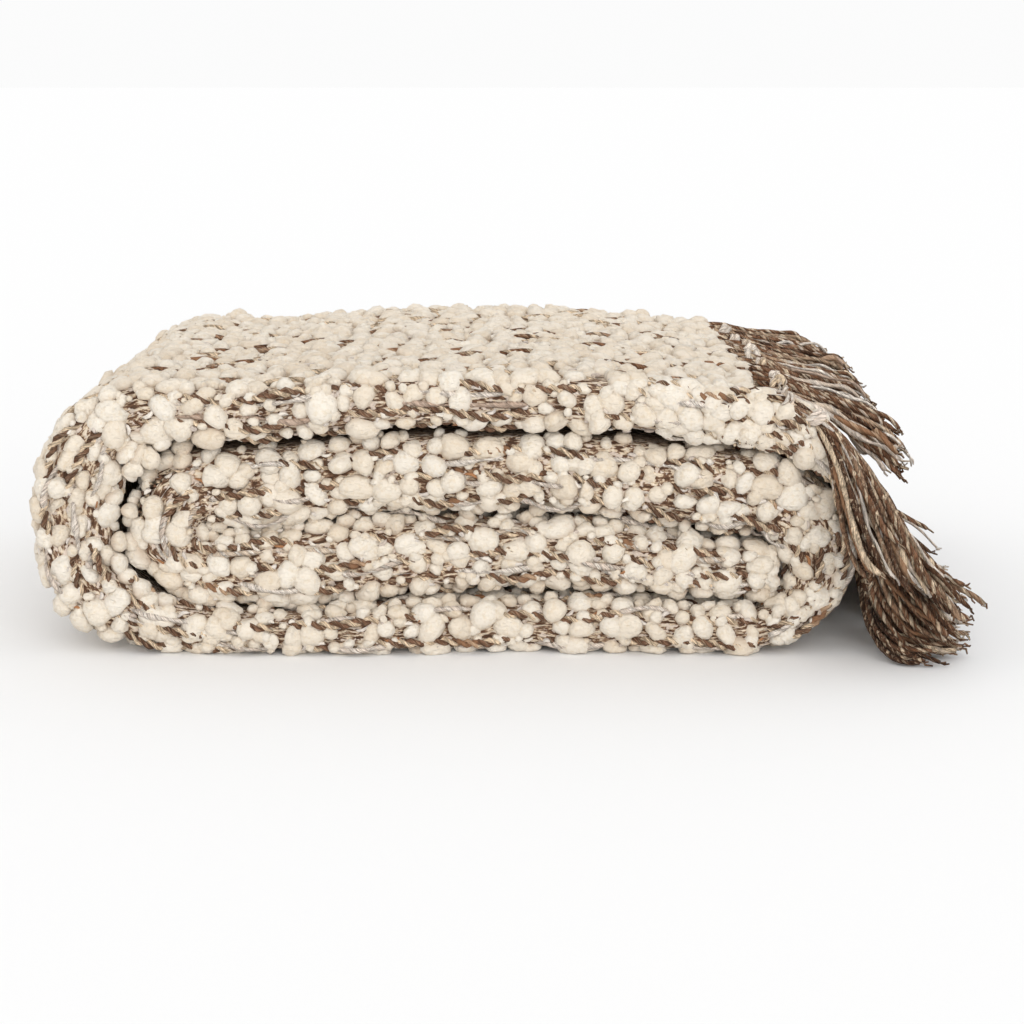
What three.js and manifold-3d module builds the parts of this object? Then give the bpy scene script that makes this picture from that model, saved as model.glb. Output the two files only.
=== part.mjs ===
// A bouclé throw with a knotted fringe, folded lengthwise in four and then rolled over itself in four
// layers. Millimetres, Z up. X runs along the folded strip, Y from its front fold to its back edges.
import * as THREE from "three";
import { mergeVertices } from "three/addons/utils/BufferGeometryUtils.js";
import Module from "manifold-3d";

// The folded strip
const DEPTH = 302; // from the front fold to the back edges
const PLY_SHARE = 0.19; // half a ply's thickness, as a share of the strip's half thickness
const NOSE = 13; // how far the rounded front fold reaches
const BACK_FOLD = { y: DEPTH - 12, reach: 9 };
const INNER_FOLD = { y: 20, reach: 8 };
const FULLNESS = 0.65; // 1 for elliptical folds, less for fuller ones
const HEM_GAP = 0.35; // between the cloth's edge and the fringe's strip
const HEM_WIDTH = 7;

// The lumps of the yarn: height on the front fold, length of a radian along and across, and how they wander
const LUMPS = { front: 3, along: 7.2, across: 8.4, sway: 1.5, swayLength: 34 };

// The way of the strip's middle, seen from the front: heights of its four layers and places of its bends
const LAYER_Z = { bottom: 13.16, lower: 49.5, upper: 90.5, top: 124.5 };
const HIDDEN_END_X = 354;
const INNER_BEND = { x: 89, reach: 22 };
const RIGHT_BEND = { x: 348, reach: 33 };
const LEFT = { x: 23.5, lowX: 93, lowZ: 49, topX: 63, topZ: 74 };
const DROOP = { x: 352, z: 52.5, reach: 59, angle: 1.95 };
const FRINGED_END = 18; // length of the droop at which the top ply ends

// Where the part's origin lies in the coordinates above
const ORIGIN = { x: 230.2, y: 141.2 };

// A row for each stretch of the way, from the hidden end to the fringed one: steps of the surface, and at
// its end the half thickness, the front fold's set-back and the height of the lumps on the broad faces.
const STRETCHES = [
  { name: "lower inner run", steps: 8, half: 20.4, setBack: 7, lumps: 0.6 },
  { name: "inner bend", steps: 10, half: 20.4, setBack: 7, lumps: 0.6 },
  { name: "upper inner run", steps: 12, half: 20.2, setBack: 4, lumps: 0.6 },
  { name: "right bend", steps: 12, half: 14, setBack: 3, lumps: 0 },
  { name: "bottom run", steps: 8, half: 14, setBack: 2, lumps: 0 },
  { name: "lower left bend", steps: 7, half: 22.3, setBack: 1, lumps: 1.2 },
  { name: "left side", steps: 2, half: 22.8, setBack: 1, lumps: 3 },
  { name: "upper left bend", steps: 7, half: 13.5, setBack: 0, lumps: 3 },
  { name: "top run", steps: 16, half: 13.5, setBack: 0, lumps: 3 },
  { name: "droop", steps: 2, half: 7, setBack: 1, lumps: 1 },
];
const START = { half: 17, setBack: 7, lumps: 0.6 };

// A row for each ply and fold across the strip, from the raw edge on top at the back to the raw edge of
// the fourth ply. Levels are shares of the half thickness. A run lies at a level, from y to toY. A turn
// goes round a level by its rise and reaches out from y. Face says whether the face side lies above (1)
// or below (-1) a run, or outside (1) or inside (-1) a turn. Slip is how much further along the strip the
// edge lies at its two ends.
const SECTION = [
  { name: "top ply", segments: 8, level: 0.75, y: DEPTH, toY: NOSE, face: 1, slip: -20, toSlip: -15 },
  {
    name: "front fold",
    segments: 6,
    level: 0,
    y: NOSE,
    rise: 0.75,
    reach: -NOSE,
    face: 1,
    slip: -15,
    toSlip: 84,
  },
  {
    name: "lower ply",
    segments: 4,
    level: -0.75,
    y: NOSE,
    toY: BACK_FOLD.y,
    face: -1,
    slip: 84,
    toSlip: 62,
  },
  {
    name: "back fold",
    segments: 3,
    level: -0.5,
    y: BACK_FOLD.y,
    rise: -0.25,
    reach: BACK_FOLD.reach,
    face: 1,
    slip: 62,
    toSlip: 54,
  },
  {
    name: "third ply",
    segments: 2,
    level: -0.25,
    y: BACK_FOLD.y,
    toY: INNER_FOLD.y,
    face: 1,
    slip: 54,
    toSlip: 56,
  },
  {
    name: "inner fold",
    segments: 3,
    level: 0,
    y: INNER_FOLD.y,
    rise: -0.25,
    reach: -INNER_FOLD.reach,
    face: -1,
    slip: 56,
    toSlip: 46,
  },
  {
    name: "fourth ply",
    segments: 2,
    level: 0.25,
    y: INNER_FOLD.y,
    toY: DEPTH - 5,
    face: -1,
    slip: 46,
    toSlip: 38,
  },
];
const SLIP_RAMP = 150; // length over which the plies come to lie apart

// Soft unevenness: places where the stack sinks, with how far it sinks and how far around
const SINKS = [
  { x: 95, z: 68, reachX: 70, reachZ: 42, sink: 8 },
  { x: 350, z: 62, reachX: 60, reachZ: 40, sink: 11 },
  { x: 150, z: 26, reachX: 70, reachZ: 30, sink: 4 },
  { x: 400, z: 135, reachX: 95, reachZ: 60, sink: 12 },
  { x: 90, z: 135, reachX: 60, reachZ: 60, sink: 6 },
];
const FOOTING = 12; // height over which the sinks fade out towards the flat underside
// The waves of the front: their height, their length in X and Z for a radian, and how deep they reach
const FRONT_WAVE = { height: 2.2, alongX: 31, alongZ: 23, depth: 110 };

// The fringe: knots of marl yarn, each with loose strands of three sides
const KNOT_RADIUS = 4.6;
const STRAND_RADIUS = 2.2;
const STRANDS_PER_KNOT = 3;
const ROOT_PITCH = 3.5; // between the strands of one knot where they leave it
const KNOT_LIFT = { ply: 1.6, fold: 4 }; // how far a knot lies above the middle of its ply or fold
const FLOOR_CLEAR = 0.3;
const FORWARD = { share: 0.22, depth: 100 }; // how the strands next to the front lean forward
const OUT_UNEVEN = 5; // how much the strands differ in how far they reach out
// How a strand bends, in shares of its reach: how straight it leaves its knot, and how straight and how
// steeply it comes to its tip where it hangs or lies. Tips lower than lyingZ lie.
const BEND = {
  leave: 0.35,
  hang: { straight: 0.2, steep: 0.16 },
  lie: { straight: 0.34, steep: 0 },
  lyingZ: 10,
};
// A row for each part of the section that carries knots: how many and between which shares of it. For the
// strands: the steps of their length, the pitch of their tips, and at the front and at the back how far
// the tips lie out from the knots and how high above the surface. Uneven is how much the heights of the
// tips differ.
const FRINGE_ROWS = [
  {
    part: "top ply",
    knots: 9,
    from: 0.04,
    to: 0.92,
    steps: 3,
    pitch: 9,
    out: 66,
    outBack: 66,
    tipZ: 86,
    tipZBack: 102,
    uneven: 3,
  },
  {
    part: "front fold",
    knots: 3,
    from: 0.22,
    to: 0.85,
    steps: 3,
    pitch: 5,
    out: 42,
    outBack: 42,
    tipZ: 38,
    tipZBack: 8,
    uneven: 2,
  },
  {
    part: "lower ply",
    knots: 9,
    from: 0.11,
    to: 0.97,
    steps: 4,
    pitch: 8,
    out: 43,
    outBack: 35,
    tipZ: 0,
    tipZBack: 0,
    uneven: 1,
  },
  {
    part: "third ply",
    knots: 8,
    from: 0.04,
    to: 0.88,
    steps: 4,
    pitch: 9,
    out: 42,
    outBack: 42,
    tipZ: 7,
    tipZBack: 7,
    uneven: 1,
  },
  {
    part: "fourth ply",
    knots: 8,
    from: 0.1,
    to: 0.97,
    steps: 4,
    pitch: 9,
    out: 47,
    outBack: 47,
    tipZ: 17,
    tipZBack: 17,
    uneven: 2,
  },
];

const CREAM = "#e4d8c4";
const MARL = "#7a5f4e";

const { clamp } = THREE.MathUtils;
const smooth = (t) => t * t * (3 - 2 * t);
const mix = (a, b, t) => a + (b - a) * t;
// Makes the round of a fold fuller than an ellipse
const full = (share) => Math.sign(share) * Math.abs(share) ** FULLNESS;
// An even scatter between -1 and 1 for the n-th of many like things
const scatter = (n, salt) => 2 * ((n * 0.6180339887 + salt * 0.7548776662) % 1) - 1;

// The way of the strip's middle, in the plane of X and Z
function stripWay() {
  const { bottom, lower, upper, top } = LAYER_Z;
  const quarter = Math.PI / 2;
  const way = new THREE.CurvePath();
  const run = (x, z, toX, toZ) => {
    way.add(new THREE.LineCurve(new THREE.Vector2(x, z), new THREE.Vector2(toX, toZ)));
  };
  // Clockwise round x and z, from one angle to another
  const bend = (x, z, reach, rise, from, to) => {
    way.add(new THREE.EllipseCurve(x, z, reach, rise, from, to, true));
  };
  run(HIDDEN_END_X, lower, INNER_BEND.x, lower);
  bend(INNER_BEND.x, (lower + upper) / 2, INNER_BEND.reach, (upper - lower) / 2, 3 * quarter, quarter);
  run(INNER_BEND.x, upper, RIGHT_BEND.x, upper);
  bend(RIGHT_BEND.x, (bottom + upper) / 2, RIGHT_BEND.reach, (upper - bottom) / 2, quarter, -quarter);
  run(RIGHT_BEND.x, bottom, LEFT.lowX, bottom);
  bend(LEFT.lowX, LEFT.lowZ, LEFT.lowX - LEFT.x, LEFT.lowZ - bottom, 3 * quarter, 2 * quarter);
  run(LEFT.x, LEFT.lowZ, LEFT.x, LEFT.topZ);
  bend(LEFT.topX, LEFT.topZ, LEFT.topX - LEFT.x, top - LEFT.topZ, 2 * quarter, quarter);
  run(LEFT.topX, top, DROOP.x, top);
  bend(DROOP.x, DROOP.z, DROOP.reach, top - DROOP.z, quarter, quarter - DROOP.angle);
  return way;
}

const way = stripWay();
const wayLength = way.getLength();
const stretchEnds = way.getCurveLengths();
const clothLength = stretchEnds.at(-2) + FRINGED_END;

// A column of the table of stretches, smoothly between its rows, at length s of the way
function along(column, s) {
  let i = 0;
  while (i < STRETCHES.length - 1 && s > stretchEnds[i]) i += 1;
  const start = i ? stretchEnds[i - 1] : 0;
  const before = i ? STRETCHES[i - 1][column] : START[column];
  return mix(before, STRETCHES[i][column], smooth(clamp((s - start) / (stretchEnds[i] - start), 0, 1)));
}

// Sinks the stack and waves its front, and keeps the underside flat
function uneven(p) {
  const footing = 1 - Math.exp(-Math.max(p.z, 0) / FOOTING);
  const made = p.clone();
  for (const row of SINKS) {
    const dx = (p.x - row.x) / row.reachX;
    const dz = (p.z - row.z) / row.reachZ;
    made.z -= row.sink * footing * Math.exp(-dx * dx - dz * dz);
  }
  const front = Math.max(0, 1 - p.y / FRONT_WAVE.depth);
  made.y += FRONT_WAVE.height * front * Math.sin(p.x / FRONT_WAVE.alongX + p.z / FRONT_WAVE.alongZ);
  return made;
}

// A place on the strip: s along it, a level as a share of the half thickness, more height in mm, and y
function placeAt(s, level, extra, y) {
  const share = clamp(s / wayLength, 0, 1);
  const p = way.getPointAt(share);
  const t = way.getTangentAt(share);
  const height = level * along("half", s) + extra;
  const setBack = along("setBack", s) * Math.max(0, 1 - y / DEPTH);
  return uneven(new THREE.Vector3(p.x - t.y * height, y + setBack, p.y + t.x * height));
}

// A place across the strip at share t of a row: on the face side of the cloth (side = 1), in its middle
// (0) or on the reverse (-1). Up and aside point out of the strip.
function acrossAt(row, t, side, half) {
  const slip = mix(row.slip, row.toSlip, t);
  if (!row.reach) {
    const level = row.level + side * row.face * PLY_SHARE;
    return { level, y: mix(row.y, row.toY, t), up: row.face, aside: 0, slip };
  }
  const out = side * row.face; // 1 on the outside of the turn
  const reach = Math.abs(row.reach) - (1 - out) * PLY_SHARE * half;
  const rise = Math.abs(row.rise) + out * PLY_SHARE;
  const up = Math.sign(row.rise) * full(Math.cos(Math.PI * t));
  const aside = Math.sign(row.reach) * full(Math.sin(Math.PI * t));
  return { level: row.level + rise * up, y: row.y + reach * aside, up, aside, slip };
}

// The length across the cloth from one place to another
const apart = (a, b, half) => Math.hypot((b.level - a.level) * half, b.y - a.y);

// How much longer a width is along the strip than square to the cloth's edge, where that edge runs aslant
function slant(row, t, half) {
  const nearby = 0.1;
  const before = acrossAt(row, Math.max(t - nearby, 0), 0, half);
  const after = acrossAt(row, Math.min(t + nearby, 1), 0, half);
  return Math.hypot(1, (after.slip - before.slip) / apart(before, after, half));
}

// The points across the strip on one side of the cloth, each with the width up to it
function sectionPoints(side, half) {
  const points = [];
  for (const row of SECTION)
    for (let i = points.length ? 1 : 0; i <= row.segments; i += 1) {
      const t = i / row.segments;
      const point = acrossAt(row, t, side, half);
      const last = points.at(-1);
      const width = last ? last.width + apart(last, point, half) : 0;
      points.push({ ...point, width, slant: slant(row, t, half) });
    }
  return points;
}

// The height of the lumps, between 0 and 1
function lump(s, width) {
  const { along: length, across, sway, swayLength } = LUMPS;
  const one = Math.sin(s / length + sway * Math.sin(width / swayLength));
  const other = Math.sin(width / across + sway * Math.sin(s / swayLength));
  return 0.5 + 0.25 * (one + other);
}

// Which points of the section show: the face side of the top ply and the front fold
const FRONT_FOLD_FROM = SECTION[0].segments;
const FRONT_FOLD_TO = FRONT_FOLD_FROM + SECTION[1].segments;

// One ring of the strip's surface near s, where the plies have slipped. Further moves it on square to its
// edge.
function ring(s, further) {
  const ramp = smooth(clamp((s - clothLength + SLIP_RAMP) / SLIP_RAMP, 0, 1));
  const sides = [1, -1].map((side) =>
    sectionPoints(side, along("half", s)).map((point, i) => {
      const here = s + point.slip * ramp + further * point.slant;
      const shown = side > 0 ? lump(here, point.width) : 0;
      const height = i <= FRONT_FOLD_FROM ? along("lumps", here) * shown : 0;
      const forward = i < FRONT_FOLD_TO ? LUMPS.front * shown * point.aside : 0;
      return placeAt(here, point.level, height, point.y + forward);
    }),
  );
  return [...sides[0], ...sides[1].reverse()];
}

// A closed surface through rings of a ribbon's outline, whose two long sides hold the same number of points
function ribbonSolid(rings) {
  const count = rings[0].length;
  const index = [];
  const quad = (a, b, c, d) => index.push(a, b, c, a, c, d);
  for (let j = 0; j + 1 < rings.length; j += 1)
    for (let i = 0; i < count; i += 1) {
      const next = (i + 1) % count;
      quad(j * count + i, j * count + next, (j + 1) * count + next, (j + 1) * count + i);
    }
  const last = (rings.length - 1) * count;
  for (let i = 0; i < count / 2 - 1; i += 1) {
    const over = count - 1 - i;
    quad(i, over, over - 1, i + 1);
    quad(last + i, last + i + 1, last + over - 1, last + over);
  }
  const geometry = new THREE.BufferGeometry().setFromPoints(rings.flat());
  geometry.setIndex(index);
  return geometry;
}

function throwGeometry() {
  const lengths = [0];
  STRETCHES.forEach((row, k) => {
    const start = k ? stretchEnds[k - 1] : 0;
    const end = Math.min(stretchEnds[k], clothLength);
    for (let i = 1; i <= row.steps; i += 1) lengths.push(mix(start, end, i / row.steps));
  });
  return ribbonSolid(lengths.map((s) => ring(s, 0)));
}

// The strip that carries the fringe goes on where the cloth's edge lies
function hemGeometry() {
  return ribbonSolid([HEM_GAP, HEM_GAP + HEM_WIDTH].map((further) => ring(clothLength, further)));
}

// The middle of a knot at a share of one of the section's rows, on the outer edge of the fringe's strip,
// and the way that the cloth runs there
function knotPlace(row, t) {
  const half = along("half", clothLength + row.slip);
  const { level, y, up, aside, slip } = acrossAt(row, t, 0, half);
  const s = clothLength + slip + (HEM_GAP + HEM_WIDTH) * slant(row, t, half);
  const lift = row.reach ? KNOT_LIFT.fold * up : KNOT_LIFT.ply;
  const liftedY = y + KNOT_LIFT.fold * aside;
  const [knot, beyond] = [s, s + HEM_WIDTH].map((each) => placeAt(each, level, lift, liftedY));
  return { knot, ahead: beyond.sub(knot).normalize() };
}

// The route of one strand of a knot: lane counts from the middle strand, back is 0 at the front and 1 at
// the back
function strandRoute(plan, { knot, ahead }, lane, back, n) {
  const wantedZ = mix(plan.tipZ, plan.tipZBack, back) + plan.uneven * scatter(n, 5);
  const tipZ = Math.max(wantedZ, STRAND_RADIUS + FLOOR_CLEAR);
  const forward = FORWARD.share * Math.max(0, 1 - knot.y / FORWARD.depth) * (knot.z - tipZ);
  const out = mix(plan.out, plan.outBack, back) + OUT_UNEVEN * scatter(n, 3);
  const start = knot.clone().add(new THREE.Vector3(0, lane * ROOT_PITCH, 0));
  const tip = new THREE.Vector3(knot.x + out, knot.y + lane * plan.pitch - forward, tipZ);
  const reach = tip.distanceTo(start);
  const leave = start.clone().addScaledVector(ahead, reach * BEND.leave);
  const { straight, steep } = tipZ < BEND.lyingZ ? BEND.lie : BEND.hang;
  const arrive = new THREE.Vector3(tip.x - reach * straight, tip.y, tip.z + reach * steep);
  return new THREE.CubicBezierCurve3(start, leave, arrive, tip);
}

function strandGeometry(route, steps) {
  const corners = [0, 1, 2].map((i) => {
    const angle = (2 * Math.PI * i) / 3 + Math.PI / 6;
    return new THREE.Vector2(Math.cos(angle), Math.sin(angle)).multiplyScalar(STRAND_RADIUS);
  });
  const outline = new THREE.Shape(corners);
  return new THREE.ExtrudeGeometry(outline, { steps, extrudePath: route, bevelEnabled: false });
}

function knotsAndStrands() {
  const pieces = [];
  for (const plan of FRINGE_ROWS) {
    const row = SECTION.find((each) => each.name === plan.part);
    for (let k = 0; k < plan.knots; k += 1) {
      const t = mix(plan.from, plan.to, k / (plan.knots - 1));
      const place = knotPlace(row, t);
      const knot = new THREE.IcosahedronGeometry(KNOT_RADIUS, 0).rotateY(scatter(k, 1));
      pieces.push(knot.translate(...place.knot));
      for (let i = 0; i < STRANDS_PER_KNOT; i += 1) {
        const lane = i - (STRANDS_PER_KNOT - 1) / 2;
        const back = row.reach ? t : place.knot.y / DEPTH;
        pieces.push(strandGeometry(strandRoute(plan, place, lane, back, pieces.length), plan.steps));
      }
    }
  }
  return pieces;
}

const wasm = await Module();
wasm.setup();

function solidOf(geometry) {
  geometry.deleteAttribute("normal");
  geometry.deleteAttribute("uv");
  const merged = mergeVertices(geometry, 1e-4);
  return new wasm.Manifold(
    new wasm.Mesh({
      numProp: 3,
      vertProperties: merged.attributes.position.array,
      triVerts: new Uint32Array(merged.index.array),
    }),
  );
}

function geometryOf(solid) {
  const mesh = solid.getMesh();
  const geometry = new THREE.BufferGeometry();
  geometry.setAttribute("position", new THREE.BufferAttribute(mesh.vertProperties, 3));
  geometry.setIndex(new THREE.BufferAttribute(mesh.triVerts, 1));
  return geometry;
}

// The strip, knots and strands of the fringe, fused
function fringeGeometry() {
  const solids = [hemGeometry(), ...knotsAndStrands()].map(solidOf);
  return geometryOf(solids.reduce((whole, piece) => whole.add(piece)));
}

function part(name, geometry, color, roughness) {
  geometry.computeVertexNormals();
  const material = new THREE.MeshStandardMaterial({ color, roughness, metalness: 0 });
  const mesh = new THREE.Mesh(geometry, material);
  mesh.name = name;
  return mesh;
}

const folded = new THREE.Group();
folded.position.set(-ORIGIN.x, -ORIGIN.y, 0);
folded.add(part("throw", throwGeometry(), CREAM, 0.95));
folded.add(part("fringe", fringeGeometry(), MARL, 0.9));

const model = new THREE.Group();
model.add(folded);
export default model;
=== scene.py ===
"""The looks of a folded bouclé throw with a knotted fringe.

The cloth lies on the same way as the CAD solid: four plies across, rolled into four layers.
Sizes are in millimetres in the strip's own coordinates until a mesh is made.
"""

import itertools
import math

import bpy
import numpy as np
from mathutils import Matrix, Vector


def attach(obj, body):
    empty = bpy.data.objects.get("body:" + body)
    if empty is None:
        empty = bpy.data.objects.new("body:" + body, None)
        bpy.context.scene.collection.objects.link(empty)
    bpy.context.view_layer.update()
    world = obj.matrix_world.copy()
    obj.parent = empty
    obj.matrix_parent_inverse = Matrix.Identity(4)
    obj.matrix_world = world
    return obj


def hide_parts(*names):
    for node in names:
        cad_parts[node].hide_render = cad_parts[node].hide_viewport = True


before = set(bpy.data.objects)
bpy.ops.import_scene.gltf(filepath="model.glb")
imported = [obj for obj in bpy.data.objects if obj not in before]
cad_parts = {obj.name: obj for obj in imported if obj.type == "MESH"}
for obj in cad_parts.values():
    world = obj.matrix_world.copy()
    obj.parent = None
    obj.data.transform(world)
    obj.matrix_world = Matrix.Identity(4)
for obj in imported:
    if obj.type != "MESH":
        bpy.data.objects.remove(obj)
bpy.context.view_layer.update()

MM = 0.001
TAU = 2 * math.pi
UP = np.array([0, 0, 1.0])
# Those of the blobs and of the yarns are raised by their zone's number
BLOB_SEED, YARN_SEED, FRINGE_SEED, INNER_END_SEED, CREASE_SEED, HOLLOW_SEED = 100, 200, 77, 90, 91, 92

# The folded strip, as in the CAD

DEPTH = 302.0  # from the front fold to the back edges
PLY_SHARE = 0.19  # half a ply's thickness, as a share of the strip's half thickness
NOSE = 13.0  # how far the rounded front fold reaches
BACK_Y, BACK_REACH = DEPTH - 12, 9.0
INNER_Y, INNER_REACH = 20.0, 8.0
FULLNESS = 0.65  # 1 for elliptical folds, less for fuller ones

# The way of the strip's middle, seen from the front: heights of its four layers and places of its bends
Z_BOTTOM, Z_LOWER, Z_UPPER, Z_TOP = 13.16, 49.5, 90.5, 124.5
HIDDEN_END_X = 354.0
INNER_BEND_X, INNER_BEND_REACH = 89.0, 22.0
RIGHT_BEND_X, RIGHT_BEND_REACH = 348.0, 33.0
LEFT_X = 23.5
LOW_LEFT_X, LOW_LEFT_Z, TOP_LEFT_X, TOP_LEFT_Z = 93.0, 49.0, 63.0, 74.0
DROOP_X, DROOP_Z, DROOP_REACH, DROOP_ANGLE = 352.0, 52.5, 59.0, 1.95
FRINGED_END = 18.0  # length of the droop at which the top ply ends
RUN_POINTS, BEND_POINTS = 200, 600

# Where the frame's origin lies in the coordinates above
ORIGIN = np.array([230.2, 141.2, 0.0])

# A row for each stretch, from the hidden end: half thickness and the front fold's set-back at its end
START = ("start", 17, 7)
STRETCHES = [
    ("lower inner run", 20.4, 7),
    ("inner bend", 20.4, 7),
    ("upper inner run", 20.2, 4),
    ("right bend", 14, 3),
    ("bottom run", 14, 2),
    ("lower left bend", 22.3, 1),
    ("left side", 22.8, 1),
    ("upper left bend", 13.5, 0),
    ("top run", 13.5, 0),
    ("droop", 7, 1),
]

# A row for each ply and fold: name, level, rise, y, to y or reach, face, slip, to slip. Rise is 0 for a ply,
# and slip is how much further along the strip the edge lies.
SECTION = [
    ("top ply", 0.75, 0, DEPTH, NOSE, 1, -20, -15),
    ("front fold", 0, 0.75, NOSE, -NOSE, 1, -15, 84),
    ("lower ply", -0.75, 0, NOSE, BACK_Y, -1, 84, 62),
    ("back fold", -0.5, -0.25, BACK_Y, BACK_REACH, 1, 62, 54),
    ("third ply", -0.25, 0, BACK_Y, INNER_Y, 1, 54, 56),
    ("inner fold", 0, -0.25, INNER_Y, -INNER_REACH, -1, 56, 46),
    ("fourth ply", 0.25, 0, INNER_Y, DEPTH - 5, -1, 46, 38),
]
SLIP_RAMP = 150.0  # length before the edge over which the slip grows
LAST_U = len(SECTION) - 0.001

# Where the stack sinks: x, z, how far around in x and z, and how far
SINKS = [
    (95, 68, 70, 42, 8),
    (350, 62, 60, 40, 11),
    (150, 26, 70, 30, 4),
    (400, 135, 95, 60, 12),
    (90, 135, 60, 60, 6),
]
FOOTING = 12.0  # height over which the sinks fade out towards the flat underside
# A slow wave of the front: its height, lengths of a radian along x and z, and how far back it fades out
WAVE_HEIGHT, WAVE_X, WAVE_Z, WAVE_DEPTH = 2.2, 31.0, 23.0, 110.0


def smooth(t):
    return t * t * (3 - 2 * t)


def unit_of(v):
    return v / np.linalg.norm(v, axis=-1, keepdims=True)


def turned(a, b, angle):
    """The way a, turned towards b by each angle."""
    return a * np.cos(angle)[..., None] + b * np.sin(angle)[..., None]


def lengths_of(points):
    """The length along a line of points, up to each of them."""
    return np.concatenate([[0], np.cumsum(np.linalg.norm(np.diff(points, axis=0), axis=1))])


def strip_way():
    """The way of the strip's middle as close points in x and z, with the length at each stretch's end."""
    stretches = []

    def run(x, z, to_x, to_z):
        t = np.linspace(0, 1, RUN_POINTS)
        stretches.append(np.stack([x + (to_x - x) * t, z + (to_z - z) * t], 1))

    def bend(x, z, reach, rise, a, b):
        t = np.linspace(a, b, BEND_POINTS)
        stretches.append(np.stack([x + reach * np.cos(t), z + rise * np.sin(t)], 1))

    half, quarter = math.pi, math.pi / 2
    run(HIDDEN_END_X, Z_LOWER, INNER_BEND_X, Z_LOWER)
    middle, rise = (Z_LOWER + Z_UPPER) / 2, (Z_UPPER - Z_LOWER) / 2
    bend(INNER_BEND_X, middle, INNER_BEND_REACH, rise, 3 * quarter, quarter)
    run(INNER_BEND_X, Z_UPPER, RIGHT_BEND_X, Z_UPPER)
    middle, rise = (Z_BOTTOM + Z_UPPER) / 2, (Z_UPPER - Z_BOTTOM) / 2
    bend(RIGHT_BEND_X, middle, RIGHT_BEND_REACH, rise, quarter, -quarter)
    run(RIGHT_BEND_X, Z_BOTTOM, LOW_LEFT_X, Z_BOTTOM)
    bend(LOW_LEFT_X, LOW_LEFT_Z, LOW_LEFT_X - LEFT_X, LOW_LEFT_Z - Z_BOTTOM, 3 * quarter, half)
    run(LEFT_X, LOW_LEFT_Z, LEFT_X, TOP_LEFT_Z)
    bend(TOP_LEFT_X, TOP_LEFT_Z, TOP_LEFT_X - LEFT_X, Z_TOP - TOP_LEFT_Z, half, quarter)
    run(TOP_LEFT_X, Z_TOP, DROOP_X, Z_TOP)
    bend(DROOP_X, DROOP_Z, DROOP_REACH, Z_TOP - DROOP_Z, quarter, quarter - DROOP_ANGLE)
    points = np.concatenate([stretches[0]] + [p[1:] for p in stretches[1:]])
    return points, np.cumsum([lengths_of(p)[-1] for p in stretches])


WAY, ENDS = strip_way()
WAY_S = lengths_of(WAY)
WAY_T = unit_of(np.gradient(WAY, WAY_S, axis=0))
CLOTH = ENDS[-2] + FRINGED_END


def along(column, s):
    """The half thickness (1) or the set-back (2) at lengths s, smoothly between the stretches."""
    values = np.array([row[column] for row in [START, *STRETCHES]], float)
    stops = np.concatenate([[0], ENDS])
    i = np.clip(np.searchsorted(stops, s, side="left") - 1, 0, len(ENDS) - 1)
    t = smooth(np.clip((s - stops[i]) / (stops[i + 1] - stops[i]), 0, 1))
    return values[i] + (values[i + 1] - values[i]) * t


def uneven(p):
    """The points p, sunk and waved as the stack is."""
    footing = 1 - np.exp(-np.maximum(p[:, 2], 0) / FOOTING)
    made = p.copy()
    for x, z, reach_x, reach_z, sink in SINKS:
        near = np.exp(-(((p[:, 0] - x) / reach_x) ** 2) - ((p[:, 2] - z) / reach_z) ** 2)
        made[:, 2] -= sink * footing * near
    front = np.maximum(0, 1 - p[:, 1] / WAVE_DEPTH)
    made[:, 1] += WAVE_HEIGHT * front * np.sin(p[:, 0] / WAVE_X + p[:, 2] / WAVE_Z)
    return made


def place_at(s, level, extra, y):
    """Places at lengths s, at a level of the half thickness and a height beyond it, y from the front."""
    s = np.clip(s, 0, WAY_S[-1])
    x, z = (np.interp(s, WAY_S, WAY[:, k]) for k in (0, 1))
    tx, tz = (np.interp(s, WAY_S, WAY_T[:, k]) for k in (0, 1))
    height = level * along(1, s) + extra
    set_back = along(2, s) * np.maximum(0, 1 - y / DEPTH)
    return uneven(np.stack([x - tz * height, y + set_back, z + tx * height], 1))


def full(share):
    """A fold's sine or cosine, made fuller."""
    return np.sign(share) * np.abs(share) ** FULLNESS


TABLE = np.array([row[1:] for row in SECTION], float)


def across_at(u, side, half):
    """Level, y, how far out of a fold and slip, at places across the strip.

    u counts the section's rows, and side is 1 on the face, 0 in the middle and -1 behind.
    """
    row = np.clip(u.astype(int), 0, len(SECTION) - 1)
    t = u - row
    level, rise, y, to, face, slip, to_slip = (TABLE[row, k] for k in range(7))
    ply = rise == 0
    out = side * face
    reach = np.abs(to) - (1 - out) * PLY_SHARE * half
    turned = np.abs(rise) + out * PLY_SHARE
    up = np.where(ply, face, np.sign(rise) * full(np.cos(math.pi * t)))
    aside = np.where(ply, 0, np.sign(to) * full(np.sin(math.pi * t)))
    made_level = np.where(ply, level + side * face * PLY_SHARE, level + turned * up)
    made_y = np.where(ply, y + (to - y) * t, y + reach * aside)
    return made_level, made_y, aside, slip + (to_slip - slip) * t


def cloth_at(s, u, side):
    """Points of the cloth at lengths s (nominal), u across and side through it. All are arrays."""
    s, u, side = (np.asarray(v, float) for v in np.broadcast_arrays(s, u, side))
    level, y, aside, slip = across_at(u, side, along(1, s))
    ramp = smooth(np.clip((s - CLOTH + SLIP_RAMP) / SLIP_RAMP, 0, 1))
    return place_at(s + slip * ramp, level, 0.0, y)


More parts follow.
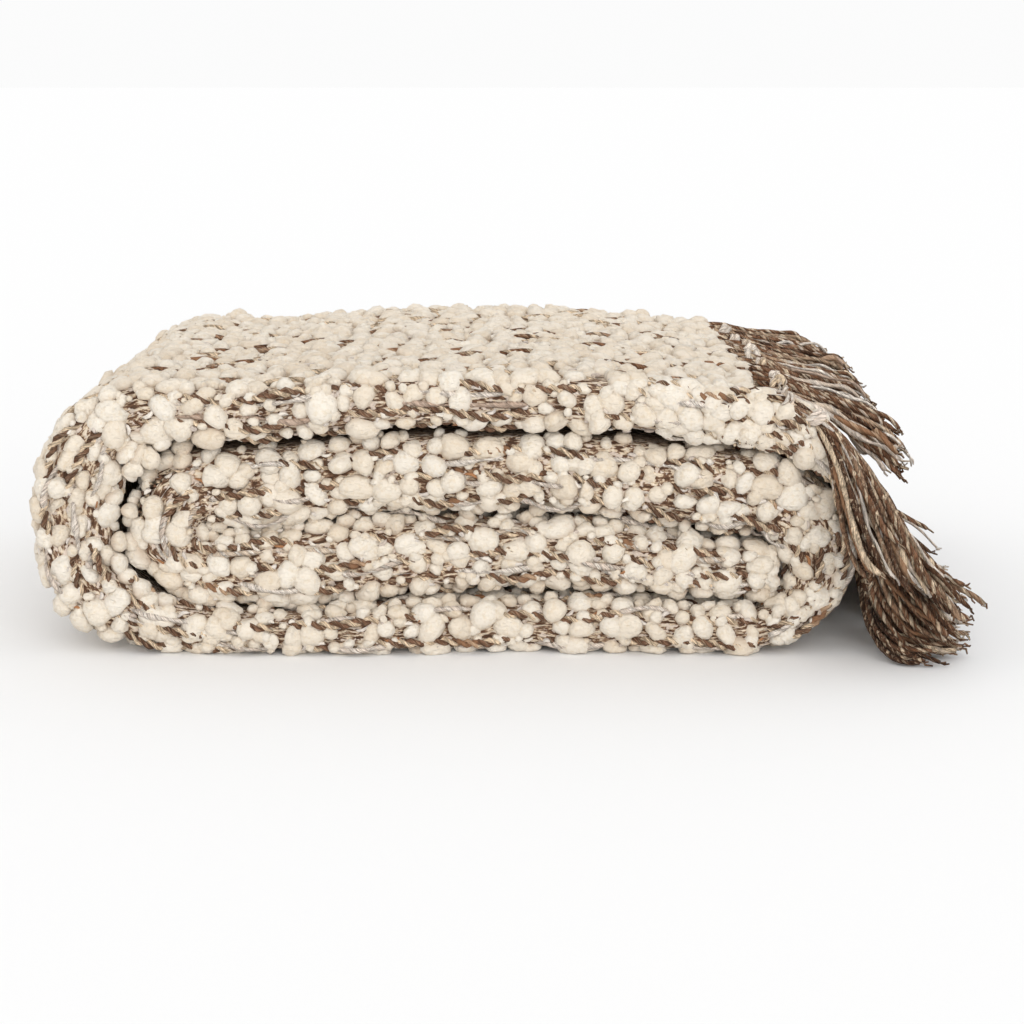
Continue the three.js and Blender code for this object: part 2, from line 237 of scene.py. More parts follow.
def frames_at(s, u, side):
    """Point, direction along, direction across and the way out of the face, at each place."""
    step_s, step_u = 1.5, 0.02
    p = cloth_at(s, u, side)
    ds = unit_of(cloth_at(s + step_s, u, side) - cloth_at(s - step_s, u, side))
    low, high = np.maximum(u - step_u, 0), np.minimum(u + step_u, LAST_U)
    out = unit_of(np.cross(cloth_at(s, high, side) - cloth_at(s, low, side), ds))
    return p, ds, np.cross(ds, out), out


# Meshes


def linked(name, data):
    made = bpy.data.objects.new(name, data)
    bpy.context.scene.collection.objects.link(made)
    return made


def mesh_piece(name, points, faces, material, values=None):
    """A smooth mesh in metres in the row frame. Values are named numbers for each point."""
    mesh = bpy.data.meshes.new(name)
    mesh.vertices.add(len(points))
    mesh.vertices.foreach_set("co", ((points - ORIGIN) * MM).astype(np.float32).ravel())
    mesh.loops.add(faces.size)
    mesh.loops.foreach_set("vertex_index", faces.astype(np.int32).ravel())
    mesh.polygons.add(len(faces))
    mesh.polygons.foreach_set("loop_start", np.arange(len(faces), dtype=np.int32) * faces.shape[1])
    mesh.polygons.foreach_set("use_smooth", np.ones(len(faces), bool))
    for key, numbers in (values or {}).items():
        kind, field = ("FLOAT", "value") if numbers.ndim == 1 else ("FLOAT_VECTOR", "vector")
        layer = mesh.attributes.new(key, kind, "POINT")
        layer.data.foreach_set(field, numbers.astype(np.float32).ravel())
    mesh.update(calc_edges=True)
    mesh.validate()
    mesh.materials.append(material)
    piece = linked(name, mesh)
    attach(piece, "root")
    return piece


class Bundle:
    """Many small closed meshes of four-cornered faces, joined."""

    def __init__(self):
        self.points, self.faces, self.values, self.count = [], [], {}, 0

    def add(self, points, faces, **values):
        """Points is (n, k, 3): n copies of a mesh with k points. Values are (n,), (n, k) or (n, k, 3)."""
        n, k = points.shape[:2]
        offset = self.count + np.arange(n)[:, None, None] * k
        self.faces.append((faces[None] + offset).reshape(-1, faces.shape[1]))
        self.points.append(points.reshape(-1, 3))
        for key, numbers in values.items():
            numbers = np.asarray(numbers, float)
            if numbers.ndim == 1:
                numbers = np.repeat(numbers[:, None], k, 1)
            self.values.setdefault(key, []).append(numbers.reshape(n * k, *numbers.shape[2:]))
        self.count += n * k

    def piece(self, name, material):
        values = {key: np.concatenate(parts) for key, parts in self.values.items()}
        return mesh_piece(name, np.concatenate(self.points), np.concatenate(self.faces), material, values)


def round_cube(n):
    """A sphere of six sides, each of n by n four-cornered faces."""
    steps, corners = np.linspace(-1, 1, n + 1), []
    for axis, sign, i, j in itertools.product(range(3), (-1, 1), range(n), range(n)):
        face = ((i, j), (i + 1, j), (i + 1, j + 1), (i, j + 1))[::sign]
        corners += [np.roll((sign, steps[a], steps[b]), axis) for a, b in face]
    corners = np.array(corners)
    _, first, faces = np.unique(np.round(corners, 6), axis=0, return_index=True, return_inverse=True)
    return unit_of(np.tan(corners[first] * math.pi / 4)), faces.reshape(-1, 4)


PLY_SIDES = 4
TAPER_STEPS, TAPER_POWER, TAPER_TO = 2, 0.6, 0.15  # how a ply thins out at its ends
LAY_APART = 9.0  # between the plies in the material's coordinates


def twists(path, frame_a, frame_b, plies, pitch, rng):
    """Plies wound round a path, each a tube. Plies are pairs of a distance from the path and a radius.

    Returns points (plies, k, 3), faces, and where each point lies along and round its ply.
    """
    m = len(path)
    length = lengths_of(path)
    ends = np.minimum(np.arange(m), np.arange(m)[::-1]) / TAPER_STEPS
    thick = np.clip(ends, 0, 1) ** TAPER_POWER * (1 - TAPER_TO) + TAPER_TO
    phase = rng.uniform(0, TAU)
    angle = TAU * np.arange(PLY_SIDES) / PLY_SIDES
    made, lay = [], []
    for k, (distance, radius) in enumerate(plies):
        turn = phase + TAU * k / len(plies) - TAU * length / pitch
        middle = path + distance * turned(frame_a, frame_b, turn)
        out = turned(frame_a[:, None], frame_b[:, None], angle + turn[:, None])
        made.append((middle[:, None] + out * (radius * thick)[:, None, None]).reshape(-1, 3))
        across, up = radius * np.cos(angle) + LAY_APART * k, radius * np.sin(angle)
        lay.append(np.stack(np.broadcast_arrays(length[:, None], across, up), 2).reshape(-1, 3))
    return np.array(made), tube_faces(m, PLY_SIDES), np.array(lay)


def tube_faces(m, sides):
    """The faces of a tube of m rings with four or six sides, closed at both ends."""
    ring, c = np.arange(m - 1)[:, None] * sides, np.arange(sides)
    a, b = (ring + c).ravel(), (ring + (c + 1) % sides).ravel()
    faces = np.stack([a, b, b + sides, a + sides], 1)
    last = (m - 1) * sides
    caps = [[3, 2, 1, 0], [last, last + 1, last + 2, last + 3]]
    if sides == 6:
        caps += [[5, 4, 3, 0], [last, last + 3, last + 4, last + 5]]
    return np.concatenate([faces, caps])


# Materials


class Nodes:
    """A material's nodes, made and joined in short lines."""

    def __init__(self, name):
        self.material = bpy.data.materials.new(name)
        self.material.use_nodes = True
        self.tree = self.material.node_tree
        self.shader = self.tree.nodes["Principled BSDF"]

    def put(self, node, inputs):
        for key, value in dict(inputs).items():
            socket = node.inputs[key]
            if isinstance(value, bpy.types.NodeSocket):
                self.tree.links.new(value, socket)
            else:
                socket.default_value = (*value, 1) if socket.type == "RGBA" else value
        return node

    def new(self, kind, inputs=(), **settings):
        node = self.tree.nodes.new("ShaderNode" + kind)
        for key, value in settings.items():
            setattr(node, key, value)
        return self.put(node, inputs)

    def number(self, attribute):
        return self.new("Attribute", attribute_name=attribute).outputs["Fac"]

    def vector(self, attribute, scale=(1, 1, 1)):
        vector = self.new("Attribute", attribute_name=attribute).outputs["Vector"]
        return self.new("Mapping", {"Vector": vector, "Scale": scale}).outputs[0]

    def where(self, scale=(1, 1, 1)):
        """Places in metres."""
        inputs = {"Vector": self.new("TexCoord").outputs["Object"], "Scale": scale}
        return self.new("Mapping", inputs).outputs[0]

    def noise(self, where, scale, detail=2.0, roughness=0.5):
        inputs = {"Vector": where, "Scale": scale, "Detail": detail, "Roughness": roughness}
        return self.new("TexNoise", inputs).outputs["Fac"]

    def ramp(self, value, stops):
        """Stops are pairs of a value and its colour."""
        node = self.new("ValToRGB", {"Fac": value})
        ramp = node.color_ramp
        while len(ramp.elements) < len(stops):
            ramp.elements.new(0.5)
        for element, (at, colour) in zip(ramp.elements, stops):
            element.position = at
            element.color = (*colour, 1)
        return node.outputs["Color"]

    def mix(self, share, a, b, blend="MIX"):
        return self.new("Mix", {0: share, 6: a, 7: b}, data_type="RGBA", blend_type=blend).outputs[2]

    def math(self, operation, a, b=0.0):
        return self.new("Math", {0: a, 1: b}, operation=operation).outputs[0]

    def fibres(self, scale):
        return self.noise(self.vector("lay", scale), 1.0, 3.0, 0.7)

    def finish(self, colour, roughness, bumps, sheen, specular=0.1):
        """Bumps are pairs of a height and its depth in metres."""
        inputs = {"Base Color": colour, "Roughness": roughness, "Specular IOR Level": specular}
        inputs |= {"Sheen Weight": sheen, "Sheen Roughness": 0.5}
        for height, depth in bumps:
            under = {"Normal": inputs["Normal"]} if "Normal" in inputs else {}
            bump = self.new("Bump", {"Height": height, "Distance": depth, **under})
            inputs["Normal"] = bump.outputs["Normal"]
        self.put(self.shader, inputs)
        return self.material


BLACK, WHITE = (0.0, 0.0, 0.0), (1.0, 1.0, 1.0)
CREAM, WARM_CREAM, PALE_CREAM = (0.89, 0.795, 0.665), (0.84, 0.725, 0.58), (0.92, 0.845, 0.735)
# PAINTED_SHADE_CREAM is the colour of the painted shade at a blob's foot, where the blobs meet
PAINTED_SHADE_CREAM = (0.60, 0.45, 0.32)
BROWN, DARK_BROWN, BEIGE = (0.20, 0.108, 0.065), (0.10, 0.055, 0.034), (0.69, 0.54, 0.38)
TASSEL_BROWN, TASSEL_DARK = (0.215, 0.105, 0.056), (0.06, 0.026, 0.013)
TAN, GREY_WHITE, WHITE_YARN = (0.40, 0.21, 0.11), (0.75, 0.63, 0.53), (0.96, 0.87, 0.77)
FLUFF_GREY, FLUFF_WHITE, ORANGE = (0.60, 0.50, 0.42), (0.80, 0.73, 0.66), (0.42, 0.20, 0.09)
# Colours are multiplied by these in darker patches
CREAM_SHADE, FLUFF_SHADE, STREAK_DARK = (0.93, 0.89, 0.82), (0.62, 0.60, 0.60), (0.45, 0.42, 0.40)


def grey(value):
    return (value, value, value)


def blob_material(name):
    """Felted cream wool. Tone differs from blob to blob. Low is painted shade: 1 at a blob's foot, where the
    blobs meet, and also some all over the blobs on top.
    """
    n = Nodes(name)
    where = n.where()
    cream = n.ramp(n.number("tone"), [(0.0, WARM_CREAM), (0.4, CREAM), (1.0, PALE_CREAM)])
    shade = n.ramp(n.noise(where, 420.0, 4.0, 0.65), [(0.34, CREAM_SHADE), (0.5, WHITE)])
    colour = n.mix(1.0, cream, shade, "MULTIPLY")
    # Painted shade: the cream turns darker brown where low is high, at each blob's foot
    colour = n.mix(n.math("MULTIPLY", n.number("low"), 0.75), colour, PAINTED_SHADE_CREAM)
    folds = n.noise(n.where((0.6, 1.0, 1.0)), 330.0, 3.0, 0.55)
    fibres = n.noise(n.where((0.35, 1.0, 1.0)), 3000.0, 3.0, 0.65)
    return n.finish(colour, 1.0, [(folds, 0.0023), (fibres, 0.0006)], 0.2)


def yarn_colour(n, value, streaks, dark, brown):
    """The colour of a yarn, streaked along its fibres, with stray pale ones. Tone near 1 turns it tan.

    Value runs from the darkest yarn at 0 to the whitest at 1.
    """
    stops = [(0.0, dark), (0.33, brown), (0.5, BEIGE), (0.6, BEIGE), (0.75, GREY_WHITE), (1.0, WHITE_YARN)]
    shade = n.ramp(streaks, [(0.40, STREAK_DARK), (0.49, grey(0.85)), (0.6, grey(1.5))])
    streaked = n.ramp(value, [(0.55, WHITE), (0.7, grey(0.55))])
    colour = n.mix(streaked, n.ramp(value, stops), shade, "MULTIPLY")
    stray = n.fibres((0.16, 1.7, 1.7))
    colour = n.mix(n.ramp(stray, [(0.56, BLACK), (0.63, grey(0.5))]), colour, BEIGE)
    tan = n.math("MULTIPLY", n.ramp(n.number("tone"), [(0.94, BLACK), (0.96, WHITE)]), 0.6)
    return n.mix(tan, colour, TAN)


def yarn_material(name):
    n = Nodes(name)
    streaks, fibres = n.fibres((0.3, 1.1, 1.1)), n.fibres((0.5, 4.0, 4.0))
    colour = yarn_colour(n, n.number("ply"), streaks, DARK_BROWN, BROWN)
    return n.finish(colour, 0.95, [(streaks, 0.0009), (fibres, 0.0004)], 0.03)


def twist_material(name):
    """Yarn whose two plies are wound round each other on one tube.

    Lay holds the length along the tube and the place round it.
    """
    n = Nodes(name)
    place = n.new("SeparateXYZ", {"Vector": n.vector("lay")}).outputs["Y"]
    second = n.new("MapRange", {"Value": place, "From Min": 0.42, "From Max": 0.58}).outputs[0]
    streaks, fibres = n.fibres((0.3, 2.0, 2.0)), n.fibres((0.6, 7.0, 7.0))
    gap = n.math("SUBTRACT", n.number("other"), n.number("ply"))
    value = n.math("ADD", n.number("ply"), n.math("MULTIPLY", second, gap))
    groove = n.math("MINIMUM", n.math("ABSOLUTE", n.math("SUBTRACT", place, 0.5)), 0.5)
    bumps = [(groove, 0.0022), (streaks, 0.0007), (fibres, 0.0004)]
    colour = yarn_colour(n, value, streaks, TASSEL_DARK, TASSEL_BROWN)
    return n.finish(colour, 0.95, bumps, 0.05)


def fluff_material(name):
    """Tufts of loose fibre, from grey over white to orange."""
    n = Nodes(name)
    stops = [(0.0, FLUFF_GREY), (0.4, FLUFF_WHITE), (0.75, PALE_CREAM), (0.95, ORANGE)]
    fibres = n.fibres((0.3, 1.6, 1.6))
    shade = n.ramp(fibres, [(0.36, FLUFF_SHADE), (0.52, WHITE)])
    colour = n.mix(1.0, n.ramp(n.number("tone"), stops), shade, "MULTIPLY")
    return n.finish(colour, 1.0, [(fibres, 0.0008)], 0.15)


def ground_material(name):
    """The weave between the blobs: short strokes of brown, beige and white yarn."""
    n = Nodes(name)
    flat = n.vector("flat")
    slanted = {"Vector": flat, "Rotation": (0, 0, 0.6), "Scale": (0.18, 0.85, 1)}
    lean = n.new("Mapping", slanted).outputs[0]
    strokes = n.noise(lean, 1.0, 3.0, 0.6)
    colour = n.ramp(strokes, [(0.40, DARK_BROWN), (0.49, BROWN), (0.55, BEIGE), (0.62, WARM_CREAM)])
    tufts = n.noise(n.vector("flat", (0.22, 0.4, 1)), 1.0, 2.0, 0.6)
    colour = n.mix(n.ramp(tufts, [(0.56, BLACK), (0.61, WHITE)]), colour, GREY_WHITE)
    fibres = n.noise(flat, 1.5, 3.0, 0.7)
    return n.finish(colour, 1.0, [(strokes, 0.003), (tufts, 0.002), (fibres, 0.0005)], 0.02)


BLOBS = blob_material("boucle_blobs")
MARL = yarn_material("marl_yarn")
TASSELS = twist_material("tassel_yarn")
FLUFFS = fluff_material("white_fluff")
GROUND = ground_material("boucle_ground")

# The cloth itself

RING_PITCH = 12.0  # along the strip
CLOTH_FACE, CLOTH_BACK = 0.3, -0.75  # where the sheet's two faces lie in the ply
SECTION_STEPS = (26, 9, 20, 5, 14, 5, 16)  # of each of the section's rows
# The lengths of the way between which the top ply lies under the throw, and from which it shows
SHOWN_FROM, UNDER_FROM, UNDER_TO = ENDS[2] - 30, ENDS[3] - 5, ENDS[4] - 25
U_TABLE = np.linspace(0, LAST_U, 700)


def widths(s):
    """The width across the cloth up to each place of U_TABLE, at length s."""
    return lengths_of(cloth_at(np.full(len(U_TABLE), float(s)), U_TABLE, 0))


def cloth_piece():
    """The ground weave: one thin closed sheet on all the folds."""
    rings = np.linspace(0, CLOTH, int(CLOTH / RING_PITCH) + 1)
    u = np.concatenate([row + np.arange(n) / n for row, n in enumerate(SECTION_STEPS)] + [[LAST_U]])
    n, m = len(rings), len(u)
    s, across = np.repeat(rings, m), np.tile(u, n)
    flat = np.stack([s, np.tile(np.interp(u, U_TABLE, widths(UNDER_FROM)), n), 0 * s], 1)
    points = np.concatenate([cloth_at(s, across, CLOTH_FACE), cloth_at(s, across, CLOTH_BACK)])

    def quads(k, step, to):
        return np.stack([k, k + step, k + step + to, k + to], 1)

    ring, column = np.arange(m - 1), np.arange(n - 1) * m
    front = quads((column[:, None] + ring).ravel(), 1, m)
    faces = [front, front[:, ::-1] + n * m]
    faces += [quads(ring + 1, -1, n * m), quads((n - 1) * m + ring + 1, -1, n * m)[:, ::-1]]
    faces += [quads(column + m, -m, n * m)[:, ::-1], quads(column + 2 * m - 1, -m, n * m)]
    values = {"flat": np.concatenate([flat, flat])}
    return mesh_piece("woven_cloth", points, np.concatenate(faces), GROUND, values)


# What stands on the cloth

WARP_PITCH = 10.6  # from one warp yarn to the next
# A row for each place where the face side shows: piece, section from and to, length from and to, how finely
# the blobs are made, the steps of the yarns and how many rows lie where one would
ZONES = [
    ("front", 1.0, 2.0, 0.0, 330.0, 3, 1.8, 1.0),
    ("front", 1.06, 2.0, 330.0, SHOWN_FROM, 3, 1.8, 1.0),
    ("front", 1.0, 2.0, SHOWN_FROM, UNDER_FROM, 3, 1.8, 1.0),
    ("front", 1.0, 2.0, UNDER_FROM, UNDER_TO, 3, 1.8, 1.0),
    ("front", 1.0, 1.95, UNDER_TO, 1120.0, 3, 1.8, 1.0),
    ("front", 1.0, 1.95, 1120.0, CLOTH - 90, 3, 1.8, 1.0),
    ("front", 1.0, 1.95, CLOTH - 90, CLOTH, 3, 1.8, 1.15),
    ("front", 2.0, 2.1, 0.0, UNDER_TO, 3, 2.6, 1.0),
    ("front", 0.93, 1.0, 0.0, 330.0, 3, 2.6, 1.0),
    ("right", 0.0, 1.0, SHOWN_FROM, UNDER_FROM, 3, 4.0, 1.0),
    ("under", 0.0, 1.0, UNDER_FROM, UNDER_TO, 2, 8.0, 1.0),
    ("top", 0.0, 1.0, UNDER_TO, CLOTH, 3, 3.6, 1.0),
    ("back", 2.96, 4.05, 0.0, CLOTH, 3, 4.0, 1.0),
    ("back", 0.0, 0.05, 0.0, SHOWN_FROM, 3, 4.0, 1.0),
    ("back", 6.95, 7.0, 0.0, CLOTH, 3, 4.0, 1.0),
    ("back", 2.1, 2.96, CLOTH - 50, CLOTH, 2, 5.0, 1.0),
]
EDGE_U = 0.004  # how far from the section's ends the rows stay
GROUND_Z = 0.25  # no blob, tuft or hair lies lower


class Rows:
    """The rows of blobs of a zone, and the section's places at widths across it."""

    def __init__(self, u_from, u_to, s_from, s_to, density):
        self.table = widths((s_from + s_to) / 2)
        low, high = np.interp((u_from, min(u_to, LAST_U)), U_TABLE, self.table)
        count = max(1, round((high - low) * density / WARP_PITCH))
        self.pitch = (high - low) / count
        self.middles = low + (np.arange(count) + 0.5) * self.pitch

    def u_at(self, width):
        return np.clip(np.interp(width, self.table, U_TABLE), EDGE_U, LAST_U - EDGE_U)


BLOB_MESH = {n: round_cube(n) for n in (2, 3)}
BLOB_FORMS = 24  # from which the blobs of a row are picked
# A blob's lumps are waves: how many, how high and how close. Some blobs have a waist: their share, which way
# it faces, and its depth, place and width
LUMPS, LUMP_HEIGHT, LUMP_WAVES = 5, (0.04, 0.12), (1.82, 3.9)
WAIST_SHARE, WAIST_WAYS = 0.5, (1, 0.6, 0.2)
WAIST_DEPTH, WAIST_PLACE, WAIST_WIDTH = (0.15, 0.28), (-0.3, 0.3), 0.25
# Spread of the blobs' turn on the cloth and of their lean along and across it
BLOB_TURN, LEAN_ALONG, LEAN_ACROSS = 0.6, 0.25, 0.15
FOOT_FROM = 0.3  # the share of its half height below which a blob has painted shade at its foot


def blob_shapes(n, rng):
    """Uneven round forms on a sphere mesh, some with a waist."""
    unit, faces = BLOB_MESH[n]
    shapes = []
    for _ in range(BLOB_FORMS):
        r = np.ones(len(unit))
        for _ in range(LUMPS):
            way = unit_of(rng.normal(size=3))
            height, close = rng.uniform(*LUMP_HEIGHT), rng.uniform(*LUMP_WAVES)
            r += height * np.sin(close * (unit @ way) + rng.uniform(0, TAU))
        if rng.random() < WAIST_SHARE:
            waist = unit_of(rng.normal(size=3) * WAIST_WAYS)
            depth, place = rng.uniform(*WAIST_DEPTH), rng.uniform(*WAIST_PLACE)
            r *= 1 - depth * np.exp(-(((unit @ waist - place) / WAIST_WIDTH) ** 2))
        shapes.append(unit * r[:, None])
    return np.array(shapes), faces


def placed(forms, p, ways):
    """Forms at the places p, turned to three ways, and none under the ground."""
    points = p[:, None] + sum(forms[..., k : k + 1] * way[:, None] for k, way in enumerate(ways))
    points[..., 2] = np.maximum(points[..., 2], GROUND_Z)
    return points


def add_blobs(bundle, s, u, side, size, n, rng, shift=0.0, painted_shade=0.0):
    """Blobs on the cloth, moved by shift. Size is (count, 3): half sizes along, across and out."""
    p, ds, du, out = frames_at(s, u, side)
    put_blobs(bundle, (p + shift, ds, du, out), size, n, rng, painted_shade)


def put_blobs(bundle, frames, size, n, rng, painted_shade=0.0):
    """Blobs at frames, with painted shade at their foot. Painted_shade is how much of that shade they have
    all over.
    """
    p, ds, du, out = frames
    count = len(p)
    shapes, faces = blob_shapes(n, rng)
    pick = shapes[rng.integers(0, len(shapes), count)]
    turn = rng.normal(0, BLOB_TURN, count)
    a, b = turned(ds, du, turn), turned(du, -ds, turn)
    o = out + a * rng.normal(0, LEAN_ALONG, (count, 1)) + b * rng.normal(0, LEAN_ACROSS, (count, 1))
    o = unit_of(o)
    a = unit_of(np.cross(b, o))
    points = placed(pick * size[:, None, :], p, (a, np.cross(o, a), o))
    # Painted shade at the foot of each blob, and on the blobs on top some all over
    low = np.clip(FOOT_FROM + painted_shade - pick[..., 2], painted_shade, 1)
    bundle.add(points, faces, tone=rng.random(count), low=low)


ROW_STEP, ROW_HEIGHT = 4, 0.6  # at which places, and how high in the cloth, a row is measured
PITCH_SPREAD = 0.22  # as a share of the pitch


def spaced(u, s_from, s_to, pitch, share, rng):
    """Uneven places along a row, of which a share is kept. They lie as far apart where the row bends."""
    s = np.linspace(s_from, s_to, max(3, int((s_to - s_from) / ROW_STEP)))
    length = lengths_of(cloth_at(s, u, ROW_HEIGHT))
    places = np.arange(pitch / 3, length[-1] - pitch / 4, pitch)
    places = places + rng.normal(0, PITCH_SPREAD * pitch, len(places))
    kept = np.interp(places, length, s)[rng.random(len(places)) < share]
    return np.clip(kept, s_from + 1, s_to - 2)


def sizes(half, along_share, across_share, out_share, rng):
    """Half sizes along, across and out, each a share of half, from and to."""
    shares = [rng.uniform(low, high, len(half)) for low, high in (along_share, across_share, out_share)]
    return half[:, None] * np.stack(shares, 1)


BLOB_WANDER = 1.5  # across their row
BLOB_LEAST, BLOB_MOST = 3.8, 7.1  # half sizes
BLOB_ALONG, BLOB_ACROSS = (0.85, 1.3), (0.8, 1.08)  # shares of the half size
BLOB_SIDE = (-0.2, 0.45)  # how high in the cloth they lie
# The blobs of a piece: pitch along a row, share that is kept, half size and its spread, and which share of it
# they stand out
BLOB_LOOKS = {
    "front": (11.8, 0.97, 5.8, 1.1, 0.7, 0.9),
    "top": (10.9, 0.95, 6.1, 0.8, 0.66, 0.82),
    "right": (11.6, 0.97, 6.0, 0.8, 0.65, 0.8),
    "back": (11.6, 0.95, 5.9, 0.8, 0.7, 0.85),
    "under": (13.0, 0.9, 5.6, 0.5, 0.3, 0.4),
}
TOP_PAINTED_SHADE = 0.14  # how much painted shade the blobs on top have all over, to darken the top face
# Small blobs between the rows: half size from and to, pitch, share that is kept, and how high in the cloth
FILLERS = {
    "front": ((2.6, 4.0, 15.0, 0.8, 0.2), (1.5, 2.3, 16.0, 0.7, 0.5)),
    "top": ((3.0, 4.4, 14.0, 0.85, 0.2),),
    "right": ((2.8, 4.2, 14.0, 0.8, 0.1),),
    "back": ((2.8, 4.2, 15.0, 0.7, 0.1),),
    "under": (),
}
FILLER_SHARES = ((0.9, 1.4), (0.8, 1.1), (0.8, 1.0))
FILLER_ASIDE, FILLER_RISE = (0.35, 0.5), (0, 0.4)  # the first as a share of the rows' pitch


def popcorn():
    """The blobs of the bouclé yarn: a piece for each name in the zones."""
    bundles = {}
    for number, (piece, u_from, u_to, s_from, s_to, n, _, density) in enumerate(ZONES):
        rng = np.random.default_rng(BLOB_SEED + number)
        bundle = bundles.setdefault(piece, Bundle())
        rows = Rows(u_from, u_to, s_from, s_to, density)
        pitch, kept, middle_half, spread, low, high = BLOB_LOOKS[piece]
        for middle in rows.middles:
            at = rows.u_at(middle)
            s = spaced(at, s_from, s_to, pitch, kept, rng)
            if len(s):
                u = rows.u_at(middle + rng.normal(0, BLOB_WANDER, len(s)))
                half = np.clip(rng.normal(middle_half, spread, len(s)), BLOB_LEAST, BLOB_MOST)
                size = sizes(half, BLOB_ALONG, BLOB_ACROSS, (low, high), rng)
                side = rng.uniform(*BLOB_SIDE, len(s))
                # The blobs on top get painted shade all over
                add_blobs(bundle, s, u, side, size, n, rng, painted_shade=TOP_PAINTED_SHADE * (piece == "top"))
            for half_from, half_to, filler_pitch, share, side in FILLERS[piece]:
                s = spaced(at, s_from, s_to, filler_pitch, share, rng)
                if not len(s):
                    continue
                aside = rng.choice((-1, 1), len(s)) * rng.uniform(*FILLER_ASIDE, len(s))
                size = sizes(rng.uniform(half_from, half_to, len(s)), *FILLER_SHARES, rng)
                side = side + rng.uniform(*FILLER_RISE, len(s))
                add_blobs(bundle, s, rows.u_at(middle + aside * rows.pitch), side, size, 2, rng)
    inner_end(bundles["front"])
    crease_blobs(bundles["front"])
    hollow_blobs(bundles["front"])
    return [bundle.piece("blobs_" + name, BLOBS) for name, bundle in bundles.items()]


# Blobs in the creases between the layers: section, length from and to, half size from and to, how high and
# how far forward
CREASES = [
    (1.035, 0.0, ENDS[0], 3.0, 5.0, 0.8, 0.0),
    (1.05, ENDS[0], ENDS[1], 4.0, 5.6, 0.8, 2.0),
    (1.965, 0.0, ENDS[2], 3.0, 5.0, 0.8, 0.0),
    (1.965, ENDS[3], ENDS[4], 3.0, 5.0, 0.8, 0.0),
    (1.93, ENDS[4] + 30, ENDS[7], 4.2, 5.8, 0.8, 2.0),
    (1.95, ENDS[6] + 5, ENDS[7] - 8, 4.5, 5.8, 2.2, 1.0),
]
CREASE_PITCH, CREASE_KEPT, CREASE_WANDER, CREASE_RISE = 9.5, 0.85, 0.012, 0.35
CREASE_SHARES = ((0.8, 1.7), (0.75, 1.1), (0.8, 1.0))
# Blobs in the hollow between the top layer's bend and the rolled layers: x, y, z and half size
HOLLOW = [
    (50, 5, 98, 5.0),
    (53, 4, 91, 5.2),
    (60, 6, 97, 5.4),
    (66, 8, 103, 5.0),
    (57, 12, 104, 5.5),
    (47, 5, 105, 4.5),
]
HOLLOW_WAYS = np.array([(1.0, 0, 0), (0, 0, 1.0), (0, -1.0, 0)])  # along, across and out
HOLLOW_SHARES = ((0.9, 1.1), (0.85, 1.0), (0.8, 0.95))
# Blobs on the rim of the end that lies inside: how many, and their section, length, side and half size
END_BLOBS, END_U, END_S, END_SIDE, END_HALF = 10, (1.05, 1.95), (0.2, 2.0), (-0.9, 0.5), (3.8, 5.2)
END_SHARES = ((0.9, 1.2), (0.85, 1.1), (0.75, 0.95))
END_SHIFT = np.array([4.5, 0.0, 0.0])


def hollow_blobs(bundle):
    rng = np.random.default_rng(HOLLOW_SEED)
    rows = np.array(HOLLOW, float)
    ways = [np.tile(way, (len(rows), 1)) for way in HOLLOW_WAYS]
    put_blobs(bundle, (rows[:, :3], *ways), sizes(rows[:, 3], *HOLLOW_SHARES, rng), 3, rng)


def crease_blobs(bundle):
    rng = np.random.default_rng(CREASE_SEED)
    for u, s_from, s_to, half_from, half_to, height, forward in CREASES:
        s = spaced(u, s_from, s_to, CREASE_PITCH, CREASE_KEPT, rng)
        size = sizes(rng.uniform(half_from, half_to, len(s)), *CREASE_SHARES, rng)
        places = u + rng.normal(0, CREASE_WANDER, len(s))
        side = height + rng.uniform(-CREASE_RISE, CREASE_RISE, len(s))
        add_blobs(bundle, s, places, side, size, 3 if forward else 2, rng, np.array([0, -forward, 0]))


def inner_end(bundle):
    rng = np.random.default_rng(INNER_END_SEED)
    u = rng.uniform(*END_U, END_BLOBS)
    size = sizes(rng.uniform(*END_HALF, END_BLOBS), *END_SHARES, rng)
    s, side = rng.uniform(*END_S, END_BLOBS), rng.uniform(*END_SIDE, END_BLOBS)
    add_blobs(bundle, s, u, side, size, 3, rng, END_SHIFT)


# The marl yarns between the rows of blobs: distance from the middle and radius of each ply, the twist's pitch
# and the plies' values
MARL_PLIES, MARL_PITCH = ((1.05, 1.5), (1.25, 1.32)), 11.0
MARL_DARK, MARL_PALE, MARL_TONE = (0.17, 0.34), 0.55, 0.5
# Heights and lengths of the waves along the marl, aside, up and in its tone, and along the white yarn
ASIDE_WAVE, RISE_WAVE, TONE_WAVE = (1.5, 9, 23), (0.75, 7, 19), (0.36, 23, 9)
WHITE_ASIDE_WAVE, WHITE_RISE_WAVE = (1.6, 11, 27), (1.15, 8, 17)
MARL_RISE = {"front": 0.3, "top": 0.05, "right": 0.3, "back": 0.3}
MARL_LEAST_Z = 3.0
# The yarns of the other pieces, as kinds of strand
FACE_MARL = {
    "top": (1.0, 1.7, 0.15, 12.0, 0.39, 0.55),
    "right": (1.0, 1.9, 0.1, 12.0, 0.33, 0.55),
    "back": (1.0, 1.9, 0.1, 12.0, 0.31, 0.54),
}
